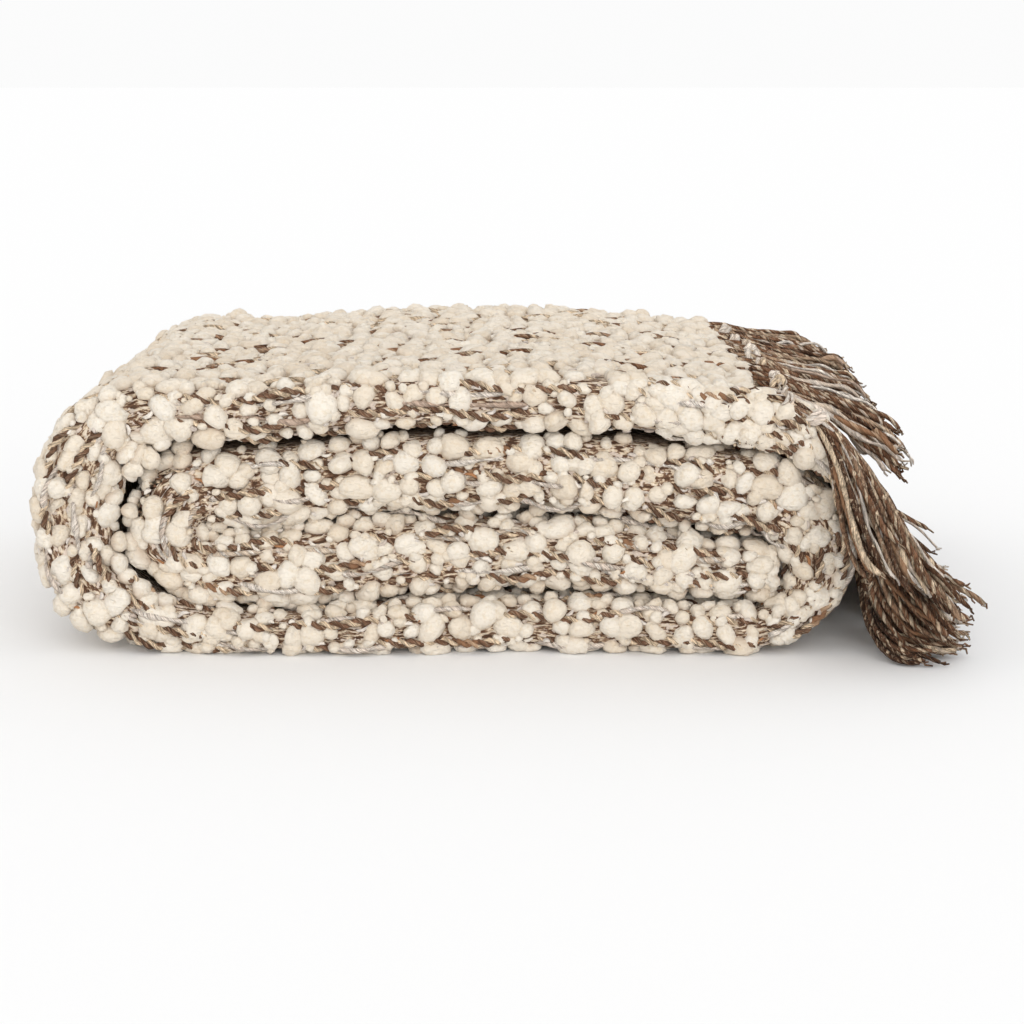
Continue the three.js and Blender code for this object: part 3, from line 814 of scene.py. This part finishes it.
# White fluff on them: pitch and share that is kept on each piece, half sizes from and to
FLUFF = {"front": (11.0, 0.75), "top": (16.0, 0.5), "right": (16.0, 0.5), "back": (16.0, 0.5)}
FLUFF_HALF = ((1.6, 3.4), (0.8, 1.3), (0.8, 1.2))
FLUFF_ASIDE, FLUFF_SIDE, FLUFF_TURN = 0.16, (0.4, 1.0), (0.25, 0.55)
FLUFF_BOW, BOW_MIDDLE, BOW_WAY = 0.35, 0.4, np.array([0, 1.0, 0.3])  # how a tuft is bent
WHITE_TONES, TAN_TONE = (0, 0.8), 1.0
TAN_SHARE, TAN_STRETCH = 0.09, (1.3, 0.75, 0.75)
FLUFF_APART, STRAND_APART = 90, 500  # how far along the material's coordinates tufts and strands are spread
# The thin white yarn beside the marl on the front: how far aside and how high, and its kind
WHITE_ASIDE, WHITE_RISE = 2.4, 0.15
WHITE_MARL = (1.0, 1.2, 0.4, 7.0, 0.88, 1.0)


def waves(s, rng, height, *lengths):
    """A slow uneven wave, made of parts with these lengths of a radian."""
    parts = [np.sin(s / (length * rng.uniform(0.8, 1.2)) + rng.uniform(0, TAU)) for length in lengths]
    return height * (sum(parts) / len(parts) ** 0.5)


def yarns():
    """Warp yarns along the strip, between the rows of blobs, that come up and go under."""
    near, far, white, fluff = Bundle(), Bundle(), Bundle(), Bundle()
    for number, (piece, u_from, u_to, s_from, s_to, _, step, density) in enumerate(ZONES):
        s = np.arange(s_from, s_to - 1, step)
        if piece == "under" or len(s) < 4:
            continue
        rng = np.random.default_rng(YARN_SEED + number)
        rows = Rows(u_from, u_to, s_from, s_to, density)
        for middle in rows.middles:
            between = middle + 0.5 * rows.pitch
            u = rows.u_at(between + waves(s, rng, *ASIDE_WAVE))
            p, _, du, out = frames_at(s, u, MARL_RISE[piece] + waves(s, rng, *RISE_WAVE))
            p[:, 2] = np.maximum(p[:, 2], MARL_LEAST_Z)
            if piece == "front":
                points, faces, lay = twists(p, du, out, MARL_PLIES, MARL_PITCH, rng)
                tone = np.repeat(MARL_TONE + waves(s, rng, *TONE_WAVE), PLY_SIDES)
                ply = (rng.uniform(*MARL_DARK), MARL_PALE)
                near.add(points, faces, ply=ply, tone=np.repeat(tone[None], len(points), 0), lay=lay)
                aside = rng.choice((-1, 1)) * WHITE_ASIDE + waves(s, rng, *WHITE_ASIDE_WAVE)
                rise = WHITE_RISE + waves(s, rng, *WHITE_RISE_WAVE)
                add_strand(white, rng, frames_at(s, rows.u_at(between + aside), rise)[0], WHITE_MARL)
            else:
                add_strand(far, rng, p, FACE_MARL[piece])
            add_fluff(fluff, rng, rows, middle, s_from, s_to, *FLUFF[piece])
    return [
        near.piece("marl_front", MARL),
        far.piece("marl_faces", TASSELS),
        white.piece("white_yarn", TASSELS),
        fluff.piece("fluff", FLUFFS),
    ]


def add_fluff(bundle, rng, rows, middle, s_from, s_to, pitch, share):
    """Short tufts of white and tan fibre, turned every way in the cloth."""
    s = spaced(rows.u_at(middle), s_from, s_to, pitch, share, rng)
    count = len(s)
    if not count:
        return
    u = rows.u_at(middle + 0.5 * rows.pitch + rng.normal(0, FLUFF_ASIDE, count) * rows.pitch)
    p, ds, du, out = frames_at(s, u, rng.uniform(*FLUFF_SIDE, count))
    unit, faces = BLOB_MESH[2]
    tan = rng.random(count) < TAN_SHARE
    halves = np.stack([rng.uniform(low, high, count) for low, high in FLUFF_HALF], 1)
    halves[tan] *= TAN_STRETCH
    turn = rng.normal(*FLUFF_TURN, count)
    a, b = turned(ds, -du, turn), turned(du, ds, turn)
    bow = FLUFF_BOW * (unit[:, :1] ** 2 - BOW_MIDDLE) * rng.choice((-1, 1), count)[:, None, None]
    forms = unit[None] * halves[:, None, :]
    points = placed(forms + bow * halves[:, None, :1] * BOW_WAY, p, (a, b, out))
    lay = forms + rng.uniform(0, FLUFF_APART, (count, 1, 1))
    tone = np.where(tan, TAN_TONE, rng.uniform(*WHITE_TONES, count))
    bundle.add(points, faces, tone=tone, lay=lay)


# The fringe

# A row for each part of the section with tassels: section row, knots, share of the row from and to, strands
# of a knot, and how far out and how high the tips lie, each at the front and the back. On the front fold
# these are its top and its underside.
FRINGE_ROWS = [
    (0, 16, 0.03, 0.95, 16, 56, 51, 92, 111),
    (1, 7, 0.1, 0.94, 16, 46, 31, 62, 4),
    (2, 15, 0.06, 0.97, 16, 46, 34, 0, 0),
    (4, 10, 0.04, 0.9, 8, 41, 41, 7, 7),
    (6, 10, 0.1, 0.97, 8, 46, 46, 17, 17),
]
FRINGE_SIDE, ROOT_RISE = 0.3, 1.2  # where in the ply the strands start, and how much higher
ROOT_BEFORE, KNOT_OUT, KNOT_OUT_SPREAD, AHEAD = 2, 8.0, (-2.5, 4), 8  # from the cloth's edge, or from a knot
KNOT_SPREAD = 0.2  # as a share of the knots' pitch
LIFT, EARLY_LIFT = 1.5, 0.3  # how far the roots stand off the folds, and more where they start early
FAN, FAN_SHIFT, LANE_SPREAD = 24.0, 3, 0.05  # how wide and how unevenly the tips of a knot lie
KNOT_WIDTH, KNOT_HEIGHT = 6.3, 0.8  # how the strands lie at a knot
TIP_Z_SPREAD, TIP_OUT_SPREAD, FLOOR_SPREAD = 4, 5, 2
LIES_BELOW = 12  # strands with a lower tip lie on the floor
# The share of its reach that a strand runs straight on, and from where it comes to its tip
LEAVE, LYING, HANGING = 0.35, np.array([-0.34, 0, 0]), np.array([-0.2, 0, 0.16])
STRAND_STEPS, ROOT_STEPS = 22, 4
# How far strands wander, the share of it that goes aside, and the turns of its slow and its quick wave
WANDER, PALE_WANDER, ASIDE_SHARE = 1.7, 3.0, (0.3, 1.4)
SLOW_TURNS, QUICK_TURNS, QUICK_SHARE = (4, 8), (12, 20), 0.45
FLOOR_CLEAR = 2.2  # the least height of a strand's middle
FORWARD_SHARE, FORWARD_DEPTH = 0.26, 100.0  # how far strands near the front lean forward as they drop
# How much lighter the yarn is high up, and above which share of the height
SHIFT_UP, SHIFT_LEVEL = 0.12, 0.45
# The kinds of strand: share, radius, how uneven it is, pitch of its twist, and the values of its two yarns
KINDS = [
    (0.6, 1.35, 0.2, 10.0, 0.22, 0.54),
    (0.2, 1.2, 0.18, 10.0, 0.0, 0.26),
    (0.07, 1.4, 0.38, 14.0, 0.64, 0.86),
    (0.08, 0.8, 0.3, 12.0, 0.86, 1.0),
]
WANDERS_FROM = 0.6  # kinds of a higher value wander more
# Where pale yarn shows most, how far around, and how much more
PALE_CORNER, PALE_REACH = np.array([395.0, -5.0, 105.0]), 34.0
PALE_WAYS, PALE_MORE = (1, 0.6, 1), 1.2
EARLY, EARLY_UP_TO = 15.0, 0.45  # how far before the edge the frayed yarn of the front corner starts
# Where the strands at the front of the floor start, and how far some of them fall short and lean forward
SHORT_BEFORE, SHORT_FROM, SHORT_LEAN, FLOOR_LEAN = 60.0, 0.35, 12.0, 21.0
FRONTMOST = -36.0  # how far forward strands lie


def strand_path(rng, root, knot, ahead, lane, tip, lies, wander):
    """Root to knot to tip, hanging or lying."""
    t = np.linspace(0, 1, STRAND_STEPS)[:, None]
    begin = knot + np.array([0, lane * KNOT_WIDTH, rng.normal(0, KNOT_HEIGHT)])
    reach = np.linalg.norm(tip - begin)
    leave = begin + ahead * reach * LEAVE
    arrive = tip + reach * (LYING if lies else HANGING)
    p = (1 - t) ** 3 * begin + 3 * (1 - t) ** 2 * t * leave + 3 * (1 - t) * t**2 * arrive + t**3 * tip
    aside = unit_of(np.cross(ahead, UP))
    for way, share in ((aside, rng.uniform(*ASIDE_SHARE)), (UP, 1.0)):
        for amount, turns in ((share, SLOW_TURNS), (QUICK_SHARE, QUICK_TURNS)):
            p = p + way * amount * wander * t * np.sin(t * rng.uniform(*turns) + rng.uniform(0, TAU))
    before = root + (begin - root) * np.linspace(0, 1, ROOT_STEPS, endpoint=False)[:, None]
    p = np.concatenate([before, p])
    p[:, 1] = np.maximum(p[:, 1], FRONTMOST)
    p[:, 2] = np.maximum(p[:, 2], FLOOR_CLEAR)
    return p


FIRST_SHARE, LAST_SHARE, THICK_WAVES = 0.5, 0.7, (3, 8)  # how thick a strand is at its ends and on its way
PITCH_SHARES, VALUE_SPREAD = (0.85, 1.2), 0.1
ACROSS = (0.0, 1.0, 0.02)  # a way that no strand runs


def add_strand(bundle, rng, path, kind, shift=0.0, sides=4):
    """A tube whose values tell the material how its two yarns are twisted."""
    _, radius, uneven_by, pitch, value, other = kind
    tangent = unit_of(np.gradient(path, axis=0))
    a = unit_of(np.cross(tangent, ACROSS))
    b = np.cross(tangent, a)
    length = lengths_of(path)
    thick = radius * (1 + waves(length, rng, uneven_by, *THICK_WAVES))
    thick[0] *= FIRST_SHARE
    thick[-1] *= LAST_SHARE
    angle = TAU * np.arange(sides) / sides
    points = path[:, None] + turned(a[:, None], b[:, None], angle) * thick[:, None, None]
    turn = angle[None] - TAU * length[:, None] / (pitch * rng.uniform(*PITCH_SHARES)) + rng.uniform(0, TAU)
    at = np.repeat(length[:, None] + rng.uniform(0, STRAND_APART), sides, 1)
    lay = np.stack([at, np.cos(turn), np.sin(turn)], 2)
    values = np.clip(np.array([value, other]) + shift + rng.normal(0, VALUE_SPREAD, 2), 0, 1)
    bundle.add(
        points.reshape(1, -1, 3),
        tube_faces(len(path), sides),
        ply=values[:1],
        other=values[1:],
        tone=[rng.random()],
        lay=lay.reshape(1, -1, 3),
    )


KNOT_SHARE = 0.6  # of the bunches of strands, how many are tied
KNOT_TURNS, KNOT_STEPS, KNOT_YARN = 1.8, 26, (1.2, 1.8)
KNOT_RADIUS, KNOT_SIZES, KNOT_OVAL = 3.4, (0.8, 1.15), 1.15
KNOT_HALF_LENGTH, KNOT_LEAN, KNOT_CLEAR = 2.6, 0.25, 2.6
# The kinds of yarn of which knots below and above a height are made
KNOTS_CHANGE_AT, LOW_KNOT_KINDS, HIGH_KNOT_KINDS = 100, (0, 1, 2, 2), (2, 2, 3)


def add_knot(bundle, rng, knot, ahead):
    """Nearly two turns of yarn round the strands."""
    turns = np.linspace(0, KNOT_TURNS * TAU, KNOT_STEPS)
    ahead = unit_of(ahead + rng.normal(0, KNOT_LEAN, 3))
    a = unit_of(np.cross(ahead, (0, 1.0, 0.1)))
    out = turned(a, KNOT_OVAL * np.cross(ahead, a), turns)
    along_it = np.linspace(-KNOT_HALF_LENGTH, KNOT_HALF_LENGTH, KNOT_STEPS)[:, None]
    path = knot + KNOT_RADIUS * rng.uniform(*KNOT_SIZES) * out + ahead * along_it
    path[:, 2] = np.maximum(path[:, 2], KNOT_CLEAR)
    kinds = LOW_KNOT_KINDS if knot[2] < KNOTS_CHANGE_AT else HIGH_KNOT_KINDS
    share, _, *rest = KINDS[rng.choice(kinds)]
    add_strand(bundle, rng, path, (share, rng.uniform(*KNOT_YARN), *rest), sides=6)


HAIRS, HAIR_RADIUS, HAIR_LENGTH, HAIR_PITCH = 2, 0.55, (1.5, 4.5), 30.0
HAIR_LEAN, HAIR_BOW, HAIR_PALER = 0.28, 0.8, 0.06
# The three points of a hair: shares of its length, from inside the strand, and of its bow
HAIR_POINTS, HAIR_BENT = np.array([[-0.3], [0.35], [1]]), np.array([[0], [1], [0]])


def add_hairs(bundle, rng, path, kind):
    """The frayed fibres at the tip of a strand."""
    ahead = unit_of(path[-1] - path[-3])
    for _ in range(HAIRS):
        way = unit_of(ahead + rng.normal(0, HAIR_LEAN, 3))
        reach = rng.uniform(*HAIR_LENGTH) * HAIR_POINTS
        hair = path[-1] + way * reach + rng.normal(0, HAIR_BOW, 3) * HAIR_BENT
        hair[:, 1] = np.maximum(hair[:, 1], FRONTMOST)
        hair[:, 2] = np.maximum(hair[:, 2], HAIR_RADIUS + GROUND_Z)
        add_strand(bundle, rng, hair, (1.0, HAIR_RADIUS, 0.0, HAIR_PITCH, kind[4] + HAIR_PALER, kind[5]))


def strand_kind(rng, knot):
    """One of the kinds, more often a pale one near the front corner."""
    shares = np.array([kind[0] for kind in KINDS])
    near = math.exp(-(np.linalg.norm((knot - PALE_CORNER) * PALE_WAYS) / PALE_REACH) ** 2)
    shares[2:] *= 1 + PALE_MORE * near
    return KINDS[rng.choice(len(KINDS), p=shares / shares.sum())]


def fringe_pieces():
    """The strands, knots and frayed ends at the throw's fringed edge."""
    rng = np.random.default_rng(FRINGE_SEED)
    strands, knots, hairs = Bundle(), Bundle(), Bundle()
    for row, count, start, end, per_knot, out, out_back, tip_z, tip_back in FRINGE_ROWS:
        for k in range(count):
            t = start + (end - start) * (k + rng.uniform(-KNOT_SPREAD, KNOT_SPREAD)) / (count - 1)
            t = np.clip(t, 0.01, 0.99)
            u, s = np.array([row + t]), np.array([CLOTH])
            level, y, aside, slip = across_at(u, np.array([FRINGE_SIDE]), along(1, s))
            early = EARLY if row == 1 and t < EARLY_UP_TO else 0
            outs = (-ROOT_BEFORE, KNOT_OUT + rng.uniform(*KNOT_OUT_SPREAD), KNOT_OUT + AHEAD)
            at = [s + far - early + slip for far in outs]
            lift = (LIFT + EARLY_LIFT * early) * aside
            root, knot, beyond = (place_at(each, level, ROOT_RISE, y + lift)[0] for each in at)
            ahead = unit_of(beyond - knot)
            back = t if row == 1 else knot[1] / DEPTH
            lean = FORWARD_SHARE * max(0, 1 - knot[1] / FORWARD_DEPTH)
            aside_by = rng.normal(0, FAN_SHIFT)
            short = tip_z == 0 and knot[1] < SHORT_BEFORE
            lanes = rng.permutation(np.linspace(-0.5, 0.5, per_knot))
            for lane in lanes + rng.normal(0, LANE_SPREAD, per_knot):
                z = tip_z + (tip_back - tip_z) * back + rng.normal(0, TIP_Z_SPREAD)
                z = max(z, FLOOR_CLEAR + FLOOR_SPREAD * rng.random())
                far = out + (out_back - out) * back + rng.normal(0, TIP_OUT_SPREAD)
                side = lane * FAN + aside_by - lean * (knot[2] - z)
                if short:
                    part = rng.uniform(SHORT_FROM, 1)
                    far *= part
                    side -= FLOOR_LEAN + SHORT_LEAN * (1 - part)
                tip = knot + np.array([far, side, z - knot[2]])
                kind = strand_kind(rng, knot)
                wander = PALE_WANDER if kind[4] > WANDERS_FROM else WANDER
                path = strand_path(rng, root, knot, ahead, lane, tip, z < LIES_BELOW, wander)
                add_strand(strands, rng, path, kind, SHIFT_UP * (knot[2] / Z_TOP - SHIFT_LEVEL))
                add_hairs(hairs, rng, path, kind)
            if rng.random() < KNOT_SHARE:
                add_knot(knots, rng, knot, ahead)
    named = {"fringe_strands": strands, "fringe_knots": knots, "fringe_hairs": hairs}
    return [bundle.piece(name, TASSELS) for name, bundle in named.items()]


cloth = cloth_piece()
woven = popcorn() + yarns()
fringe = fringe_pieces()
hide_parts("throw")
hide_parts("fringe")

# Floor, light and camera

FLOOR_REACH, FLOOR_COLOUR, STUDIO_STRENGTH = 40.0, (0.9, 0.9, 0.9), 0.97
# The soft light from the front: its way, how many degrees wide and how strong
SUN_WAY, SUN_WIDTH, SUN_STRENGTH = (-0.2, 1.0, -0.25), 60, 1.6
CAMERA_AT, CAMERA_DOWN, CAMERA_LENS = (0.0027, -1.1417, 0.276), 11.56, 75.5  # down in degrees
CAMERA_SEES_TO = 200  # metres


def floor():
    r = FLOOR_REACH
    mesh = bpy.data.meshes.new("floor")
    mesh.from_pydata([(-r, -r, 0), (r, -r, 0), (r, r, 0), (-r, r, 0)], [], [(0, 1, 2, 3)])
    mesh.materials.append(Nodes("pale_floor").finish(FLOOR_COLOUR, 1.0, (), 0.0, 0.0))
    plane = linked("floor", mesh)


def sun():
    light = bpy.data.lights.new("front", "SUN")
    light.angle = math.radians(SUN_WIDTH)
    light.energy = SUN_STRENGTH
    lamp = linked("front", light)
    lamp.rotation_mode = "QUATERNION"
    lamp.rotation_quaternion = Vector(SUN_WAY).to_track_quat("-Z", "Y")


def studio():
    world = bpy.context.scene.world = bpy.data.worlds.new("studio")
    world.use_nodes = True
    inputs = world.node_tree.nodes["Background"].inputs
    inputs["Color"].default_value = (1, 1, 1, 1)
    inputs["Strength"].default_value = STUDIO_STRENGTH


def camera():
    data = bpy.data.cameras.new("camera")
    data.lens = CAMERA_LENS
    data.clip_end = CAMERA_SEES_TO
    eye = linked("camera", data)
    eye.location = CAMERA_AT
    eye.rotation_euler = (math.radians(90 - CAMERA_DOWN), 0, 0)
    bpy.context.scene.camera = eye


floor()
studio()
sun()
bpy.context.scene.view_settings.view_transform = "Standard"
camera()
